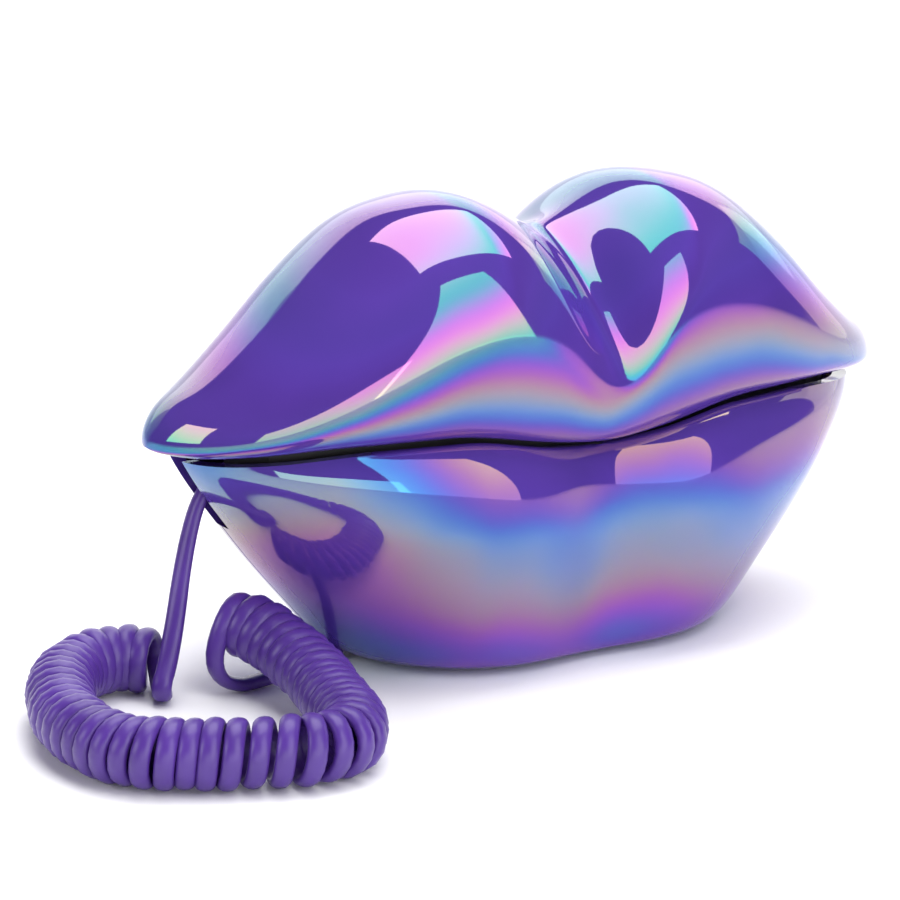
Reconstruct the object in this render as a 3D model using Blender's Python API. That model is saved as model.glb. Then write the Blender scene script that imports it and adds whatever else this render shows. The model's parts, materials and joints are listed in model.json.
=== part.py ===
"""Novelty shaped telephone: a pair of lips, the upper one the handset and the lower one the base.

The lips lie along X, their front faces -Y, and the feet stand on Z = 0.  All sizes below are in
millimetres and MM turns them into Blender's metres.  The curves are drawn from the lips' own middle
plane, and the finished pieces then move back by CENTRE_Y, which puts the middle of the telephone's
depth, cord aside, on Y = 0.
"""

import math

import bmesh
import bpy
from mathutils import Vector

MM = 0.001
GAP = 0.3
CENTRE_Y = 7.17

# Upper lip, the handset.  Curves run from the middle (first point) out to a mouth corner.
LIP_HALF = 107.0
LIP_FRONT = 49.0
LIP_BACK = 36.0
RIDGE_SHIFT = -9.0
TIP_ROUND = 9.0
FOOT = 1.0
RIDGE = ((0, 108.5), (10, 112), (28, 118.4), (45, 115.8), (62, 104.2), (78, 88.2), (92, 76.6), (107, 69))
EQUATOR = ((0, 73), (8, 76.5), (18, 84), (30, 86.7), (42, 84.5), (55, 79), (70, 72), (85, 66.5),
           (107, 61))
PARTING = ((0, 57.5), (15, 59), (45, 63.5), (70, 63), (90, 61), (107, 59))
PARTING_TUCK = 6.0
ROLL_SHARE = 0.16
GROOVE = ((0, 0), (0.06, 0.25), (0.2, 0.8), (0.5, 1), (0.8, 0.75), (1, 0.35))
GROOVE_DEPTH = 10.0
GROOVE_WIDTH = (4.5, 8.0)
SHELL_WALL = 2.6

# Lower lip, the base: (share of height, height, half length, half depth) of its level outlines.
HULL = ((0.0, 0.0, 49, 33), (0.03, 0.0, 53, 36.5), (0.08, 1.5, 56.5, 39), (0.25, 13, 67, 43.5),
        (0.48, 27.7, 79.5, 48), (0.66, 38.3, 87.6, 50), (0.82, 47.5, 94.6, 49), (0.92, 52.6, 98, 46.2),
        (1.0, 55, 99.5, 42.5))
HULL_LOBE = 0.05
HULL_DIP = 0.15
HULL_DIP_BY_SHARE = ((0, 0.15), (0.08, 0.3), (0.4, 0.9), (0.7, 0.85), (1, 0.6))
HULL_SAG = 0.06
LIP_SPACE = 2.0
FLOOR_WALL = 2.4
SLOT_WIDTH = 7.0
SLOT_FOOT_Z = 39.0

# Handset underside and what is mounted on it.
FACE_Z = 67.0
FACE_TOP = FACE_Z + 2.4
KEY_PITCH_X = 11.0
KEY_PITCH_Y = 13.0
KEY_MID = (-5.5, -5.0)
KEY_SIZE = (8.0, 10.0)
KEY_PROUD = 1.4
KEY_TRAVEL = 1.5
EAR = (-58.0, -4.0)
MOUTH = (70.0, -3.0)
HANDSET_JACK = (-81.5, 0.0)
BOSSES = ((-42, -27), (-42, 16), (42, -27), (42, 16))

# Base inside.
DECK_Z = 52.0
DECK_TOP = DECK_Z + 2.4
CRADLE = (93.0, 34.5, 23.5)
PLATE_Z = 1.4
PLATE_TOP = 4.8
OPENING = (45.0, 30.0, 20.5)
POSTS = ((-24, -21), (-24, 13), (26, -21), (26, 13))
FEET = ((-37, -13), (-36, 10.3), (37, -13), (36, 10.3))
STANDOFFS = ((-11, -22), (-10, 15.5), (12, -22), (12, 15.5))
BOARD_Z = 14.0
HOOK = (40.0, -4.0)
HOOK_TRAVEL = 4.0
LINE_JACK_X = 3.0
SWITCH_Z = 38.0
SWITCHES = (("ringer_switch", -24.0), ("dial_switch", 24.0))
SWITCH_TRAVEL = 4.0

# Handset cord: a flat cord 5.2 wide and 2.6 thick, drawn here as a round one of its mean size.
TAIL_RADIUS = 1.8
COIL_RADIUS = 8.2
HANDSET_TAIL = ((-81.5, 0, 60.6), (-81.6, 0, 57.6), (-83.0, 0, 54.4), (-86.3, 0, 51.6),
                (-90.2, 0, 48.6), (-93.6, 0, 44.0), (-96.0, 0, 37.5), (-98.2, 0, 28.0),
                (-100.2, -0.6, 18.0), (-103.4, -4.2, 11.0), (-107.8, -9.2, 7.9),
                (-111.8, -13.4, 6.2), (-113.6, -15.2, 4.2), (-112.6, -13.9, 2.3),
                (-111.0, -9.6, 1.9), (-110.0, -4.2, 1.9))
COIL_ROUTE = ((-110.6, -0.9, 8.3), (-117.5, 3.2, 8.3), (-127.5, 0.8, 8.3), (-138.5, -12, 8.3),
              (-146, -32, 8.3), (-147, -50, 8.3), (-141, -64, 8.3), (-130, -71.5, 8.3),
              (-117, -78, 8.3), (-106, -82.5, 8.3), (-95.5, -79.5, 8.3), (-89, -68, 8.3),
              (-85, -52, 8.5), (-82.5, -38, 9.6), (-83, -26.5, 11.8), (-86.6, -17, 13.8),
              (-92, -10.5, 14.6))
BASE_TAIL = ((-38.3, 0, 6.1), (-44, 0, 5.4), (-50, -0.3, 3.3), (-57, -1.2, 2.1), (-66, -4.5, 1.9),
             (-76, -10.2, 1.9), (-86, -13.2, 1.9), (-94, -11, 2.0), (-98.9, -6, 3.0),
             (-99.4, -2.2, 5.2), (-97.4, -2.6, 7.0), (-93.4, -8.9, 7.6))


def clear_scene():
    for item in list(bpy.data.objects):
        bpy.data.objects.remove(item, do_unlink=True)


def material(name, colour, roughness, metallic=0.0):
    made = bpy.data.materials.get(name)
    if made is None:
        made = bpy.data.materials.new(name)
        made.use_nodes = True
        surface = made.node_tree.nodes["Principled BSDF"]
        surface.inputs["Base Color"].default_value = (*colour, 1.0)
        surface.inputs["Roughness"].default_value = roughness
        surface.inputs["Metallic"].default_value = metallic
    return made


def pearl_shell(name):
    return material(name, (0.19, 0.10, 0.50), 0.12, 0.75)


def black_plastic(name):
    return material(name, (0.02, 0.02, 0.025), 0.4)


def grey_rubber(name):
    return material(name, (0.12, 0.12, 0.12), 0.8)


def green_board(name):
    return material(name, (0.03, 0.22, 0.09), 0.5)


def steel(name):
    return material(name, (0.6, 0.6, 0.62), 0.35, 1.0)


def violet_cord(name):
    return material(name, (0.12, 0.05, 0.33), 0.45)


# Solids

def add_mesh(name, work, finish, smooth=True):
    bmesh.ops.recalc_face_normals(work, faces=work.faces)
    mesh = bpy.data.meshes.new(name)
    work.to_mesh(mesh)
    work.free()
    if smooth:
        mesh.shade_smooth()
        mesh.set_sharp_from_angle(angle=math.radians(35))
    made = bpy.data.objects.new(name, mesh)
    bpy.context.collection.objects.link(made)
    made.data.materials.append(finish)
    return made


def place_verts(work, points):
    return [work.verts.new(Vector(point) * MM) for point in points]


def skin(name, rings, finish, tips=None, cap_strips=False):
    """A closed solid from rings of points, ended by single points, flat caps or strips."""
    work = bmesh.new()
    rows = [place_verts(work, ring) for ring in rings]
    count = len(rows[0])
    for near, far in zip(rows, rows[1:]):
        for i in range(count):
            j = (i + 1) % count
            work.faces.new((near[i], near[j], far[j], far[i]))
    for row, tip in zip((rows[0], rows[-1]), tips or (None, None)):
        if tip is not None:
            peak = work.verts.new(Vector(tip) * MM)
            for i in range(count):
                work.faces.new((row[i], row[(i + 1) % count], peak))
        elif cap_strips:
            strip_cap(work, row)
        else:
            work.faces.new(row)
    return add_mesh(name, work, finish)


def strip_cap(work, row):
    """Closes an outline whose first point and middle point are its two ends, strip by strip."""
    half = len(row) // 2
    work.faces.new((row[0], row[1], row[-1]))
    for i in range(1, half - 1):
        work.faces.new((row[i], row[i + 1], row[-i - 1], row[-i]))
    work.faces.new((row[half - 1], row[half], row[half + 1]))


def prism(name, outline, low, high, finish, smooth=False):
    work = bmesh.new()
    bottom = work.faces.new(place_verts(work, [(x, y, low) for x, y in outline]))
    raised = bmesh.ops.extrude_face_region(work, geom=[bottom])["geom"]
    lifted = [item for item in raised if isinstance(item, bmesh.types.BMVert)]
    bmesh.ops.translate(work, verts=lifted, vec=(0, 0, (high - low) * MM))
    return add_mesh(name, work, finish, smooth)


def box(name, x, y, z, finish, edge=0.0):
    """A block between the given (low, high) limits, with an optional small bevel."""
    work = bmesh.new()
    bmesh.ops.create_cube(work, size=1.0)
    for vert in work.verts:
        for axis, (low, high) in enumerate((x, y, z)):
            vert.co[axis] = (low if vert.co[axis] < 0 else high) * MM
    if edge:
        bmesh.ops.bevel(work, geom=work.edges[:], offset=edge * MM, segments=1, affect="EDGES")
    return add_mesh(name, work, finish, smooth=False)


def disc_outline(x, y, radius, sides):
    step = 2 * math.pi / sides
    return [(x + radius * math.cos(step * i), y + radius * math.sin(step * i)) for i in range(sides)]


def cylinder(name, centre, radius, z, finish, sides=16):
    return prism(name, disc_outline(*centre, radius, sides), z[0], z[1], finish, smooth=True)


def turned(name, centre, profile, finish, sides=20):
    """A solid turned about a vertical axis from (radius, height) points, first and last on it."""
    rings = [[(x, y, height) for x, y in disc_outline(*centre, radius, sides)]
             for radius, height in profile[1:-1]]
    tips = tuple((*centre, profile[i][1]) for i in (0, -1))
    return skin(name, rings, finish, tips=tips)


def boolean(target, other, operation="DIFFERENCE"):
    """Applies the other solid to the target and leaves the other one as a hidden guide."""
    step = target.modifiers.new(other.name, "BOOLEAN")
    step.operation = operation
    step.object = other
    step.solver = "EXACT"
    other.hide_render = True
    other.display_type = "WIRE"


def cut(target, *others):
    for other in others:
        boolean(target, other)


def join(target, *others):
    for other in others:
        boolean(target, other, "UNION")


def guide(name):
    return black_plastic("guide_" + name)


# Curves of the lips

def along(points, at):
    """A smooth curve through (key, value) points that never overshoots, level at its start."""
    keys = [key for key, _ in points]
    values = [value for _, value in points]
    at = min(max(at, keys[0]), keys[-1])
    rises = [(values[i + 1] - values[i]) / (keys[i + 1] - keys[i]) for i in range(len(keys) - 1)]
    slopes = [0.0]
    for before, after in zip(rises, rises[1:]):
        slopes.append(0.0 if before * after <= 0 else 2 * before * after / (before + after))
    slopes.append(rises[-1])
    i = max(j for j in range(len(rises)) if keys[j] <= at)
    width = keys[i + 1] - keys[i]
    t = (at - keys[i]) / width
    return ((2 * t ** 3 - 3 * t ** 2 + 1) * values[i] + (t ** 3 - 2 * t ** 2 + t) * width * slopes[i]
            + (3 * t ** 2 - 2 * t ** 3) * values[i + 1] + (t ** 3 - t ** 2) * width * slopes[i + 1])


def fullness(x, half, depth, power, roundness):
    """Half depth at x of a rounded outline that is as deep as depth and as long as 2 * half."""
    return depth * max(1 - min(abs(x) / half, 1) ** power, 0) ** roundness


def upper_point(x, share, inset):
    """A point on the upper lip at x; share runs 0 to 1 from the front parting over to the back."""
    far = abs(x)
    half = LIP_HALF - 1.8 * inset
    back = share > 0.5
    share = 1 - share if back else share
    nearness = min(max((far - half + TIP_ROUND) / TIP_ROUND, 0), 1)
    closing = math.sqrt(1 - nearness ** 2)
    mid = along(EQUATOR, far)
    top = mid + (along(RIDGE, far) - 1.15 * inset - mid) * closing
    low = mid + (along(PARTING, far) - mid) * closing
    front_depth = fullness(x, half, LIP_FRONT - inset, 2.6, 0.55)
    depth = fullness(x, half, LIP_BACK - inset, 2.6, 0.55) if back else front_depth
    crest = RIDGE_SHIFT * front_depth / LIP_FRONT * (-1 if back else 1)
    if share < ROLL_SHARE:
        turn = (1 - share / ROLL_SHARE) * math.pi / 2
        y = -(depth - min(PARTING_TUCK, depth / 2) * (1 - math.cos(turn)))
        z = mid - (mid - low) * math.sin(turn)
    else:
        climb = (share - ROLL_SHARE) / (0.5 - ROLL_SHARE)
        turn = climb * math.pi / 2
        y = crest + (-depth - crest) * max(math.cos(turn), 0) ** 0.95
        z = mid + (top - mid) * math.sin(turn)
        width = GROOVE_WIDTH[0] + GROOVE_WIDTH[1] * climb + inset * 0.5
        groove = GROOVE_DEPTH * along(GROOVE, climb) * math.exp(-(far / width) ** 1.6)
        y += groove * math.cos(turn * 0.6)
        z -= groove * math.sin(turn) * 0.5
    return x, -y if back else y, z + FOOT


def lip_stations(half, count):
    """Places along the lip, closer together at the ends and over the groove in the middle."""
    places = []
    for i in range(count):
        u = -1 + 2 * (i + 0.5) / count
        places.append(half * math.sin(u * math.pi / 2) * (0.72 + 0.28 * abs(math.sin(u * math.pi / 2))))
    return places


def upper_solid(name, stations, around, inset=0.0, low=None):
    """The upper lip as a closed solid, or with low given the cutter for its inside."""
    half = LIP_HALF - 1.8 * inset
    rings = []
    for x in lip_stations(half, stations):
        ring = [upper_point(x, j / around, inset) for j in range(around + 1)]
        if low is not None:
            ring = [(x, ring[0][1], low)] + ring + [(x, ring[-1][1], low)]
        rings.append(ring)
    tips = None
    if low is None:
        tip_z = along(EQUATOR, LIP_HALF) + FOOT
        tips = ((-half, 0, tip_z), (half, 0, tip_z))
    return skin(name, rings, pearl_shell(name), tips=tips)


def hull_ring(share, inset, sides, top=None):
    """The lower lip's level outline at a share of its height, pulled in by the wall's inset."""
    height, half = (along([(row[0], row[i]) for row in HULL], share) for i in (1, 2))
    half -= inset * 1.25
    ring = []
    for i in range(sides):
        turn = 2 * math.pi * i / sides
        x = half * math.cos(turn)
        front = math.sin(turn) < 0
        sag = HULL_SAG * math.exp(-(x / 18) ** 2) * 4 * share * (1 - share)
        depth = along([(row[0], row[3]) for row in HULL], share + sag)
        y = fullness(x, half, depth, 2.8, 0.5)
        lobe = HULL_LOBE * math.exp(-((abs(x) - 32) / 18) ** 2)
        dip = HULL_DIP * math.exp(-(x / 14) ** 2) * along(HULL_DIP_BY_SHARE, share)
        y *= 1 + lobe - dip if front else LIP_BACK / LIP_FRONT
        y = max(y - inset * min(y / 8, 1), 0)
        wave = along(PARTING, min(abs(x) * LIP_HALF / half, LIP_HALF)) - LIP_SPACE - HULL[-1][1]
        z = height + wave * along(((0, 0), (0.5, 0.15), (1, 1)), share) + FOOT
        ring.append((x, -y if front else y, z if top is None else top))
    return ring


def hull_solid(name, sides):
    shares = (0, 0.03, 0.08, 0.25, 0.4, 0.54, 0.68, 0.82, 0.92, 1.0)
    rings = [hull_ring(share, 0, sides) for share in shares]
    return skin(name, rings, pearl_shell(name), cap_strips=True)


def hull_cavity(name, sides):
    shares = (0.08, 0.25, 0.4, 0.54, 0.68, 0.82, 0.92)
    rings = [hull_ring(share, SHELL_WALL, sides) for share in shares]
    rings.insert(0, [(x, y, FOOT + FLOOR_WALL) for x, y, _ in rings[0]])
    rings[1] = [(x, y, FOOT + FLOOR_WALL + 1.5) for x, y, _ in rings[1]]
    rings.append([(x, y, z + 0.5) for x, y, z in hull_ring(1.0, SHELL_WALL, sides)])
    rings.append(hull_ring(1.0, SHELL_WALL, sides, top=80))
    return skin(name, rings, guide(name), cap_strips=True)


def rounded_outline(half, front, back, sides, power=2.8, roundness=0.5):
    outline = []
    for i in range(sides):
        turn = 2 * math.pi * i / sides
        x = half * math.cos(turn)
        depth = back if math.sin(turn) > 0 else -front
        outline.append((x, fullness(x, half, abs(depth), power, roundness) * math.copysign(1, depth)))
    return outline


# Handset

def key_layout():
    """Names and centres of the keys, by rows along X and columns along Y."""
    rows = (("key_1", "key_2", "key_3"), ("key_4", "key_5", "key_6"), ("key_7", "key_8", "key_9"),
            ("key_star", "key_0", "key_hash"), ("key_flash", "key_redial", "key_mute"))
    layout = []
    for r, row in enumerate(rows):
        extra = 2.0 if r == 4 else 0.0
        for c, name in enumerate(row):
            x = KEY_MID[0] + (r - 1.5) * KEY_PITCH_X + extra
            layout.append((name, x, KEY_MID[1] + (1 - c) * KEY_PITCH_Y))
    return layout


def handset_shell():
    shell = upper_solid("handset_shell", 38, 24)
    cut(shell, upper_solid("shell_inside", 24, 16, inset=SHELL_WALL, low=40))
    for i, place in enumerate(BOSSES):
        top = 109.0 if place[1] < 0 else 106.5
        join(shell, cylinder(f"boss_{i}", place, 3.5, (FACE_TOP + GAP, top), guide("boss"), 10))
    for i, place in enumerate(BOSSES):
        cut(shell, cylinder(f"pilot_{i}", place, 1.5, (FACE_TOP - 1, FACE_TOP + 13), guide("pilot"), 8))


def handset_face():
    face = prism("handset_face", rounded_outline(96, 38.0, 25.0, 40, 2.6, 0.55),
                 FACE_Z, FACE_TOP, black_plastic("handset_face"))
    for name, x, y in key_layout():
        hole_x, hole_y = KEY_SIZE[0] / 2 + GAP, KEY_SIZE[1] / 2 + GAP
        cut(face, box("hole_" + name, (x - hole_x, x + hole_x), (y - hole_y, y + hole_y),
                      (FACE_Z - 1, FACE_TOP + 1), guide("key_hole")))
    for i, place in enumerate([EAR] + disc_outline(*EAR, 7.0, 6)):
        cut(face, cylinder(f"ear_hole_{i}", place, 1.6, (FACE_Z - 1, FACE_TOP + 1), guide("ear_hole"), 8))
    for i in (-1, 0, 1):
        place = (MOUTH[0], MOUTH[1] + 4.5 * i)
        cut(face, cylinder(f"mouth_hole_{i + 1}", place, 1.2, (FACE_Z - 1, FACE_TOP + 1), guide("mouth_hole"), 8))
    x, y = HANDSET_JACK
    cut(face, box("jack_hole", (x - 5.8, x + 5.8), (y - 6.3, y + 6.3), (60, 72), guide("jack_hole")))
    for i, place in enumerate(BOSSES):
        cut(face, cylinder(f"face_screw_hole_{i}", place, 1.8, (FACE_Z - 1, FACE_TOP + 1), guide("screw_hole"), 10))
    for i, (x, y) in enumerate(((-31.5, -24), (-31.5, 14), (34, -24), (34, 14))):
        join(face, cylinder(f"standoff_{i}", (x, y), 1.8, (FACE_TOP - 1, 73.7), guide("standoff"), 8))


def keys():
    for name, x, y in key_layout():
        wide, deep = KEY_SIZE[0] / 2, KEY_SIZE[1] / 2
        cap = box(name, (x - wide, x + wide), (y - deep, y + deep), (FACE_Z - KEY_PROUD, FACE_TOP + GAP + 0.6),
                  material(name, (0.85, 0.83, 0.9), 0.35))
        join(cap, box("flange_" + name, (x - wide - 0.9, x + wide + 0.9), (y - deep - 0.9, y + deep + 0.9),
                      (FACE_TOP + GAP, FACE_TOP + GAP + 1.2), guide("flange")))


def handset_parts():
    gasket = cylinder("earpiece_gasket", EAR, 17, (FACE_TOP + GAP, FACE_TOP + 1.5), grey_rubber("earpiece_gasket"), 24)
    cut(gasket, cylinder("gasket_hole", EAR, 13, (60, 80), guide("gasket_hole"), 24))
    base = FACE_TOP + 1.5 + GAP
    turned("earpiece_speaker", EAR, ((0, base), (17, base), (17, base + 3), (11, base + 5), (11, base + 9.0),
                                     (0, base + 9.0)), steel("earpiece_speaker"), 24)
    boot = cylinder("microphone_boot", MOUTH, 8, (FACE_TOP + GAP, FACE_TOP + 6.5), grey_rubber("microphone_boot"), 20)
    cut(boot, cylinder("boot_hole", MOUTH, 5.6, (60, FACE_TOP + 5.0), guide("boot_hole"), 20))
    cylinder("microphone", MOUTH, 5.3, (FACE_TOP + GAP, FACE_TOP + 4.7), steel("microphone"), 20)
    box("keypad_membrane", (-29, 31.5), (-26, 16), (72.7, 73.7), grey_rubber("keypad_membrane"))
    box("keypad_board", (-34, 36.5), (-27, 17), (74, 75.6), green_board("keypad_board"))
    box("handset_weight", (47.5, 59), (-15, 8), (FACE_TOP + GAP, FACE_TOP + 8), steel("handset_weight"), edge=0.6)
    x, y = HANDSET_JACK
    jack = box("handset_jack", (x - 5.5, x + 5.5), (y - 6, y + 6), (FACE_Z, 75), black_plastic("handset_jack"))
    cut(jack, box("jack_socket", (x - 3.2, x + 3.2), (y - 3.6, y + 3.6), (60, 73.4), guide("jack_socket")))
    for i, place in enumerate(BOSSES):
        screw("handset_screw_" + str(i + 1), place, FACE_Z - 1.6 - GAP, 2.9, 1.6, FACE_TOP + 10, 1.2)


def screw(name, place, low, head_radius, head_height, high, radius):
    """A screw driven upwards: its head at the bottom, its shank above it."""
    turned(name, place, ((0, low), (head_radius, low), (head_radius, low + head_height),
                         (radius, low + head_height), (radius, high - 1.5), (0, high)), steel(name), 8)


# Base

def base_shells():
    x, y = LINE_JACK_X, 34
    for name, other_side in (("base_front_shell", (-GAP / 2, 90)), ("base_rear_shell", (-90, GAP / 2))):
        shell = hull_solid(name, 48)
        cut(shell, hull_cavity("cavity_" + name, 40),
            prism("floor_opening_" + name, rounded_outline(*OPENING, 32), -5, 12, guide("opening")),
            box("half_" + name, (-150, 150), other_side, (-10, 120), guide("half")),
            box("cord_slot_" + name, (-130, -80), (-SLOT_WIDTH / 2, SLOT_WIDTH / 2), (SLOT_FOOT_Z, 90),
                guide("cord_slot")),
            box("cord_channel_" + name, (-75, -38), (-4.5, 4.5), (-2, 7.6), guide("cord_channel")))
        if name == "base_rear_shell":
            cut(shell, box("line_jack_hole", (x - 8.3, x + 8.3), (25, 45), (15.6, 29.2), guide("line_jack_hole")))
            for switch, place in SWITCHES:
                cut(shell, box("slot_" + switch, (place - 5, place + 5), (28, 45), (SWITCH_Z - 2.3, SWITCH_Z + 2.3),
                               guide("slot_" + switch)))


def base_deck():
    half, front, back = CRADLE
    deck = prism("base_deck", rounded_outline(92, 37.0, 28.0, 40), DECK_Z, DECK_TOP, black_plastic("base_deck"))
    rim = prism("cradle_rim", rounded_outline(half, front, back, 40), DECK_TOP - 1, FACE_Z - GAP, guide("cradle"))
    cut(rim, prism("cradle_inside", rounded_outline(half - 1.8, front - 1.8, back - 1.8, 40), 40, 80,
                   guide("cradle")))
    join(deck, rim)
    cut(deck, box("plug_well", (-100, -75), (-9, 9), (40, 80), guide("plug_well")))
    cut(deck, cylinder("plunger_hole", HOOK, 3.6, (40, 60), guide("plunger_hole"), 16))
    for i, place in enumerate(POSTS):
        join(deck, cylinder(f"post_{i}", place, 4, (PLATE_TOP + GAP, DECK_Z + 1), guide("post"), 12))
    for i, place in enumerate(POSTS):
        cut(deck, cylinder(f"post_pilot_{i}", place, 1.7, (PLATE_TOP - 1, PLATE_TOP + 13), guide("post_pilot"), 8))


def base_plate():
    half, front, back = OPENING
    plate = prism("base_plate", rounded_outline(half - GAP, front - GAP, back - GAP, 32), PLATE_Z, PLATE_TOP,
                  black_plastic("base_plate"))
    cut(plate, box("plate_channel", (-60, -15.4), (-7.5, 7.5), (-5, 8), guide("plate_channel")))
    for i, place in enumerate(STANDOFFS):
        join(plate, cylinder(f"board_standoff_{i}", place, 2.5, (PLATE_TOP - 1, BOARD_Z - GAP), guide("board_standoff"), 8))
    for i, place in enumerate(POSTS):
        cut(plate, cylinder(f"plate_bore_{i}", place, 1.9, (0, 8), guide("plate_bore"), 10),
            cylinder(f"plate_counterbore_{i}", place, 3.4, (0, 3.4), guide("plate_counterbore"), 12))
    for i, place in enumerate(POSTS):
        screw("base_screw_" + str(i + 1), place, PLATE_Z + 0.2, 3.0, 1.5, PLATE_TOP + 11, 1.4)
    for i, place in enumerate(FEET):
        cylinder("foot_" + str(i + 1), place, 2.7, (0, PLATE_Z - GAP), grey_rubber("foot_" + str(i + 1)), 16)


def base_parts():
    board = box("base_board", (-34, 46), (-26, 20), (BOARD_Z, BOARD_Z + 1.6), green_board("base_board"))
    for i, place in enumerate(POSTS):
        cut(board, cylinder(f"board_hole_{i}", place, 4.4, (0, 40), guide("board_hole"), 12))
    seat = BOARD_Z + 1.6 + GAP
    turned("ringer_buzzer", (-8, -7), ((0, seat), (12, seat), (12, seat + 6), (10.5, seat + 7),
                                       (3, seat + 7), (3, seat + 3), (0, seat + 3)),
           black_plastic("ringer_buzzer"), 20)
    x, y = HOOK
    box("hook_switch", (x - 5.5, x + 5.5), (y - 7, y + 7), (seat, 27.7), black_plastic("hook_switch"), edge=0.5)
    turned("hook_plunger", HOOK, ((0, 33), (1.6, 33), (1.6, 41), (5.2, 41), (5.2, 42.6), (3, 42.6),
                                  (3, FACE_Z - GAP - 1), (2, FACE_Z - GAP), (0, FACE_Z - GAP)),
           material("hook_plunger", (0.8, 0.8, 0.82), 0.4), 16)
    spring_coil("hook_spring", HOOK, 3.4, 0.45, 28.6, 40.1, 5)
    box("base_weight", (-12, 20), (-14, 8), (PLATE_TOP + GAP, BOARD_Z - 1.0), steel("base_weight"), edge=0.6)
    x = LINE_JACK_X
    line = box("line_jack", (x - 8, x + 8), (17, 31.2), (seat, 28.9), black_plastic("line_jack"))
    cut(line, box("line_socket", (x - 5.2, x + 5.2), (20, 40), (18.6, 26), guide("line_socket")))
    cord = box("base_jack", (-30, -16), (-6.5, 6.5), (2.2, BOARD_Z - GAP), black_plastic("base_jack"))
    cut(cord, box("base_socket", (-40, -19), (-3.6, 3.6), (2.9, 9.3), guide("base_socket")))


def rear_switches():
    """Two slide switches behind slots in the rear shell, each with its own knob."""
    for name, x in SWITCHES:
        inner = fullness(x, 86, 35.5, 2.8, 0.5) - SHELL_WALL
        box(name + "_body", (x - 9, x + 9), (inner - 8.5, inner - 2.2), (SWITCH_Z - 3.5, SWITCH_Z + 3.5),
            black_plastic(name + "_body"), edge=0.4)
        start = x - SWITCH_TRAVEL / 2
        box(name + "_knob", (start - 2, start + 2), (inner - 1.9, inner + 4.4), (SWITCH_Z - 1.7, SWITCH_Z + 1.7),
            material(name + "_knob", (0.75, 0.73, 0.8), 0.4), edge=0.4)


# Cord

def smooth_route(points, step):
    """Points at an even spacing along a smooth curve through the route's own points."""
    dense = []
    last = len(points) - 1
    for i in range(last):
        p0, p1, p2, p3 = (Vector(points[min(max(i + k, 0), last)]) for k in (-1, 0, 1, 2))
        for part in range(24):
            t = part / 24
            dense.append(0.5 * (2 * p1 + (p2 - p0) * t + (2 * p0 - 5 * p1 + 4 * p2 - p3) * t ** 2
                                + (3 * p1 - p0 - 3 * p2 + p3) * t ** 3))
    dense.append(Vector(points[-1]))
    total = sum((b - a).length for a, b in zip(dense, dense[1:]))
    count = max(round(total / step), 2)
    route = [dense[0]]
    walked, target = 0.0, total / count
    for a, b in zip(dense, dense[1:]):
        length = (b - a).length
        while length > 0 and walked + length >= target - 1e-6 and len(route) < count:
            route.append(a + (b - a) * ((target - walked) / length))
            target += total / count
        walked += length
    route.append(dense[-1])
    return route


def tube(name, route, radius, finish, resolution=2):
    curve = bpy.data.curves.new(name, "CURVE")
    curve.dimensions = "3D"
    curve.bevel_depth = radius * MM
    curve.bevel_resolution = resolution
    curve.use_fill_caps = True
    spline = curve.splines.new("POLY")
    spline.points.add(len(route) - 1)
    for point, place in zip(spline.points, route):
        point.co = (*(Vector(place) * MM), 1.0)
    made = bpy.data.objects.new(name, curve)
    bpy.context.collection.objects.link(made)
    curve.materials.append(finish)
    return made


def spring_coil(name, centre, radius, wire, low, high, turns):
    steps = turns * 10
    route = []
    for i in range(steps + 1):
        turn = 2 * math.pi * i / 10
        route.append((centre[0] + radius * math.cos(turn), centre[1] + radius * math.sin(turn),
                      low + (high - low) * i / steps))
    tube(name, route, wire, steel(name), 0)


def cord():
    x, y = HANDSET_JACK
    plug = box("handset_plug", (x - 2.9, x + 2.9), (y - 3.3, y + 3.3), (60.9, 73.1),
               material("handset_plug", (0.75, 0.75, 0.8), 0.2), edge=0.4)
    plug.data.materials[0].node_tree.nodes["Principled BSDF"].inputs["Alpha"].default_value = 0.8
    box("base_plug", (-38, -20), (-3.3, 3.3), (3.2, 9.0), material("base_plug", (0.75, 0.75, 0.8), 0.2), edge=0.4)
    tube("handset_tail", smooth_route(HANDSET_TAIL, 4.5), TAIL_RADIUS, violet_cord("handset_tail"))
    tube("base_tail", smooth_route(BASE_TAIL, 4.5), TAIL_RADIUS, violet_cord("base_tail"))
    tube("curly_cord", smooth_route(COIL_ROUTE, 8.0), COIL_RADIUS, violet_cord("curly_cord"), 3)


def build():
    clear_scene()
    handset_shell()
    handset_face()
    keys()
    handset_parts()
    base_shells()
    base_deck()
    base_plate()
    base_parts()
    rear_switches()
    cord()
    for item in bpy.data.objects:
        item.location.y += CENTRE_Y * MM


build()
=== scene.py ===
"""Looks of the lip shaped telephone: fine lips, the curled cord, keys and every material.

The script's own unit is the millimetre; MM turns it into metres.  The lips' curves and the cord's
route are those of the CAD part, which this script can't read.  Both are drawn from the lips' own
middle plane, which lies CENTRE_Y behind the frame's origin.
"""

import json
import math

import bmesh
import bpy
import numpy as np
from mathutils import Matrix, Vector


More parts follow.
